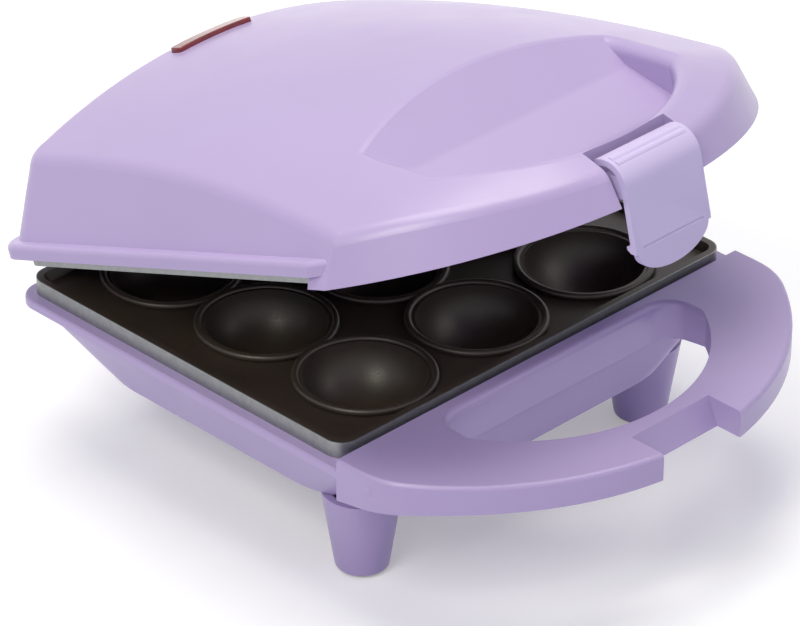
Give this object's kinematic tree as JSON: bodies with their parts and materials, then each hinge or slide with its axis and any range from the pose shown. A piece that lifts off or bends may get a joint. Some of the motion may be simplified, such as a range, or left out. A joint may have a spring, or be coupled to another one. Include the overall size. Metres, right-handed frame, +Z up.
{
  "type": "cake pop maker",
  "caption": "Countertop cooker for round cakes on sticks: four-legged tub and hinged domed lid with cupped non-stick plates, looped handles, front latch and indicator window",
  "frame": {"origin": "middle of the footprint, on the surface it stands on", "axes": "+Z up, handles towards -Y, hinge towards +Y, +X to the right seen from the handles"},
  "size_m": [0.177, 0.2178, 0.1426],
  "materials": {
    "lilac_plastic": "satin",
    "nonstick": "satin non-stick coating on cast aluminium",
    "bare_steel": "plain",
    "bare_aluminium": "plain",
    "rubber": "matt",
    "red_window": "clear red",
    "lamp_glass": "clear",
    "white_plastic": "matt",
    "lead_sleeve": "woven sleeve"
  },
  "bodies": {
    "base": {"lower_housing": "lilac_plastic", "lower_plate": "nonstick", "lower_heating_element": "bare_steel", "lower_element_clips": "bare_steel", "lower_reflector": "bare_aluminium", "lower_plate_screws": "bare_steel", "hinge_pins": "bare_steel", "thermostat": "bare_steel", "thermal_fuse": "bare_steel", "cord_gland": "rubber", "foot_pads": "rubber", "lower_wiring": "lead_sleeve"},
    "lid": {"upper_housing": "lilac_plastic", "upper_plate": "nonstick", "upper_heating_element": "bare_steel", "upper_element_clips": "bare_steel", "upper_reflector": "bare_aluminium", "upper_plate_screws": "bare_steel", "upper_wiring": "lead_sleeve", "indicator_lens": "red_window", "neon_lamp": "lamp_glass", "lamp_holder": "white_plastic", "latch_pin": "bare_steel"},
    "latch": {"latch": "lilac_plastic"}
  },
  "joints": [
    {"name": "lid_hinge", "type": "hinge", "parent": "base", "child": "lid", "pos_m": [0, 0.1037, 0.058], "axis": [-1, 0, 0], "range_deg": [-20.3, 72]},
    {"name": "latch_pivot", "type": "hinge", "parent": "lid", "child": "latch", "pos_m": [0, -0.08239, 0.1343], "axis": [-1, 0, 0], "range_deg": [-5, 15]}
  ]
}
